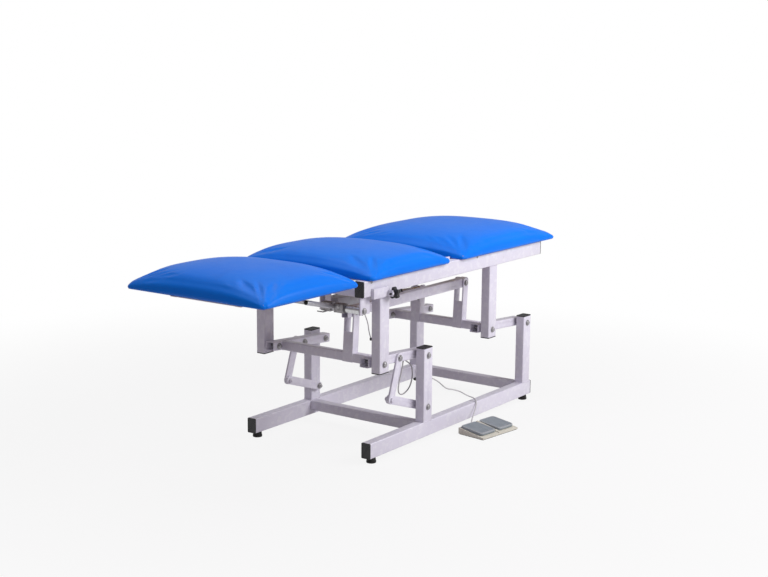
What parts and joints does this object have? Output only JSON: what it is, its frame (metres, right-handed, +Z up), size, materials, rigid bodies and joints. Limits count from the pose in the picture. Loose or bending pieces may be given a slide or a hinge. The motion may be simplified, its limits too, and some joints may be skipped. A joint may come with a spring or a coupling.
{
  "type": "electric examination couch",
  "caption": "Three-section examination couch: padded leg, seat and back sections on a parallel-arm lifting frame driven by an electric actuator, with a foot switch.",
  "frame": {"origin": "on the floor, under the middle of the whole object, foot switch included", "axes": "+X from the leg end to the head end, +Y from the foot switch's side to the other side, +Z up"},
  "size_m": [1.992, 0.8278, 0.7841],
  "materials": {
    "frame_paint": "satin",
    "black_plastic": "satin",
    "black_rubber": "matte",
    "bright_steel": "bright",
    "blue_vinyl": "satin",
    "plywood": "matte",
    "spring_grey": "satin",
    "aluminium": "satin",
    "dark_metal": "satin",
    "actuator_grey": "satin",
    "beige_plastic": "satin",
    "grey_cord": "matte",
    "grey_plastic": "satin"
  },
  "bodies": {
    "base": {"base_rail_near": "frame_paint", "base_rail_far": "frame_paint", "base_crossbars": "frame_paint", "base_posts": "frame_paint", "base_caps": "black_plastic", "rubber_feet": "black_rubber", "base_pivot_bolts": "bright_steel", "foot_switch_housing": "beige_plastic", "foot_switch_sole": "black_rubber", "foot_switch_cord": "grey_cord", "cord_fittings": "black_plastic"},
    "foot_arms": {"foot_arm_near": "frame_paint", "foot_arm_far": "frame_paint", "foot_arm_crossbar": "frame_paint", "foot_tie_lever": "frame_paint", "drop_link_bolts": "bright_steel", "lead_loop": "grey_cord"},
    "head_arms": {"head_arm_near": "frame_paint", "head_arm_far": "frame_paint", "head_arm_crossbar": "frame_paint", "head_tie_lever": "frame_paint", "actuator_lever": "frame_paint", "actuator_pin": "bright_steel"},
    "tie_bar": {"tie_bar": "frame_paint", "tie_bar_bolts": "bright_steel"},
    "drop_link_near": {"drop_link_near": "frame_paint"},
    "drop_link_far": {"drop_link_far": "frame_paint"},
    "lower_link_near": {"lower_link_near": "frame_paint"},
    "lower_link_far": {"lower_link_far": "frame_paint"},
    "top_frame": {"top_rail_near": "frame_paint", "top_rail_far": "frame_paint", "top_crossmembers": "frame_paint", "hanging_posts": "frame_paint", "top_caps": "black_plastic", "top_frame_bolts": "bright_steel", "top_frame_brackets": "frame_paint", "seat_board": "plywood", "seat_cushion": "blue_vinyl", "shaft_rod": "bright_steel", "shaft_ring": "black_plastic", "shaft_sleeve": "aluminium", "release_head": "dark_metal", "accessory_holder": "frame_paint", "shaft_lead": "grey_cord"},
    "actuator_rod": {"actuator_rod": "bright_steel"},
    "actuator_housing": {"actuator_housing": "actuator_grey", "actuator_motor": "actuator_grey"},
    "leg_section": {"leg_frame": "frame_paint", "leg_board": "plywood", "leg_cushion": "blue_vinyl"},
    "leg_spring_cylinder": {"leg_spring_cylinder": "spring_grey"},
    "leg_spring_rod": {"leg_spring_rod": "bright_steel"},
    "back_section": {"back_frame": "frame_paint", "back_board": "plywood", "back_cushion": "blue_vinyl"},
    "back_spring_cylinder": {"back_spring_cylinder": "spring_grey"},
    "back_spring_rod": {"back_spring_rod": "bright_steel"},
    "star_knob": {"star_knob": "black_plastic"},
    "pedal_lower": {"pedal_lower": "grey_plastic"},
    "pedal_raise": {"pedal_raise": "grey_plastic"}
  },
  "joints": [
    {"name": "lift", "type": "hinge", "parent": "base", "child": "foot_arms", "pos_m": [0.016, 0, 0.348], "axis": [0, 1, 0], "range_deg": [-34, 30]},
    {"name": "head_arms_turn", "type": "hinge", "parent": "base", "child": "head_arms", "pos_m": [0.794, 0, 0.348], "axis": [0, 1, 0], "range_deg": [-34.2, 30.2]},
    {"name": "top_frame_turn", "type": "hinge", "parent": "foot_arms", "child": "top_frame", "pos_m": [-0.28127, 0, 0.36879], "axis": [0, 1, 0], "range_deg": [-30.2, 34.2]},
    {"name": "tie_bar_turn", "type": "hinge", "parent": "foot_arms", "child": "tie_bar", "pos_m": [-0.23601, 0, 0.54305], "axis": [0, 1, 0], "range_deg": [-30.2, 34.2]},
    {"name": "drop_link_near_turn", "type": "hinge", "parent": "foot_arms", "child": "drop_link_near", "pos_m": [-0.12067, 0, 0.35756], "axis": [0, 1, 0], "range_deg": [-37, 42]},
    {"name": "lower_link_near_turn", "type": "hinge", "parent": "base", "child": "lower_link_near", "pos_m": [0.016, 0, 0.141], "axis": [0, 1, 0], "range_deg": [-22.3, 19.7]},
    {"name": "drop_link_far_turn", "type": "hinge", "parent": "foot_arms", "child": "drop_link_far", "pos_m": [-0.12067, 0, 0.35756], "axis": [0, 1, 0], "range_deg": [-37, 42]},
    {"name": "lower_link_far_turn", "type": "hinge", "parent": "base", "child": "lower_link_far", "pos_m": [0.016, 0, 0.141], "axis": [0, 1, 0], "range_deg": [-22.3, 19.7]},
    {"name": "actuator_rod_turn", "type": "hinge", "parent": "head_arms", "child": "actuator_rod", "pos_m": [0.53836, 0, 0.49118], "axis": [0, 1, 0], "range_deg": [-28.8, 32.6]},
    {"name": "actuator_stroke", "type": "slide", "parent": "actuator_rod", "child": "actuator_housing", "axis": [-0.9989, 0, 0.0464], "range_m": [-0.0732, 0.0645]},
    {"name": "leg_section_turn", "type": "hinge", "parent": "top_frame", "child": "leg_section", "pos_m": [-0.434, 0, 0.67779], "axis": [0, -1, 0], "range_deg": [0, 50]},
    {"name": "leg_spring_turn", "type": "hinge", "parent": "top_frame", "child": "leg_spring_cylinder", "pos_m": [-0.389, 0, 0.58679], "axis": [0, -1, 0], "range_deg": [0, 44]},
    {"name": "leg_spring_stroke", "type": "slide", "parent": "leg_spring_cylinder", "child": "leg_spring_rod", "axis": [-0.9699, 0, 0.2433], "range_m": [-0.0805, 0]},
    {"name": "back_section_turn", "type": "hinge", "parent": "top_frame", "child": "back_section", "pos_m": [0.209, 0, 0.70279], "axis": [0, -1, 0], "range_deg": [0, 65]},
    {"name": "back_spring_turn", "type": "hinge", "parent": "top_frame", "child": "back_spring_cylinder", "pos_m": [0.274, 0, 0.65379], "axis": [0, -1, 0], "range_deg": [0, 70.2]},
    {"name": "back_spring_stroke", "type": "slide", "parent": "back_spring_cylinder", "child": "back_spring_rod", "axis": [0.9976, 0, 0.0686], "range_m": [0, 0.0851]},
    {"name": "knob_turn", "type": "hinge", "parent": "top_frame", "child": "star_knob", "pos_m": [-0.255, -0.23609, 0.63979], "axis": [1, 0, 0], "continuous": true},
    {"name": "pedal_lower_press", "type": "hinge", "parent": "base", "child": "pedal_lower", "pos_m": [0.2255, -0.27778, 0.02592], "axis": [0.9903, -0.1392, 0], "range_deg": [0, 2.5], "stiffness_Nm_per_rad": 2, "springref_deg": -5.73},
    {"name": "pedal_raise_press", "type": "hinge", "parent": "base", "child": "pedal_raise", "pos_m": [0.33641, -0.29337, 0.02592], "axis": [0.9903, -0.1392, 0], "range_deg": [0, 2.5], "stiffness_Nm_per_rad": 2, "springref_deg": -5.73}
  ],
  "couplings": [
    {"joint": "head_arms_turn", "follows": "lift", "ratio": 1},
    {"joint": "top_frame_turn", "follows": "lift", "ratio": -1},
    {"joint": "tie_bar_turn", "follows": "lift", "ratio": -1},
    {"joint": "drop_link_near_turn", "follows": "lift", "ratio": -1.225},
    {"joint": "lower_link_near_turn", "follows": "lift", "ratio": 0.65},
    {"joint": "drop_link_far_turn", "follows": "lift", "ratio": -1.225},
    {"joint": "lower_link_far_turn", "follows": "lift", "ratio": 0.65},
    {"joint": "actuator_rod_turn", "follows": "lift", "ratio": -0.9525},
    {"joint": "actuator_stroke", "follows": "lift", "m_per_rad": 0.1225},
    {"joint": "leg_spring_turn", "follows": "leg_section_turn", "ratio": 0.875},
    {"joint": "leg_spring_stroke", "follows": "leg_section_turn", "m_per_rad": -0.092},
    {"joint": "back_spring_turn", "follows": "back_section_turn", "ratio": 1.0742},
    {"joint": "back_spring_stroke", "follows": "back_section_turn", "m_per_rad": 0.0746}
  ]
}
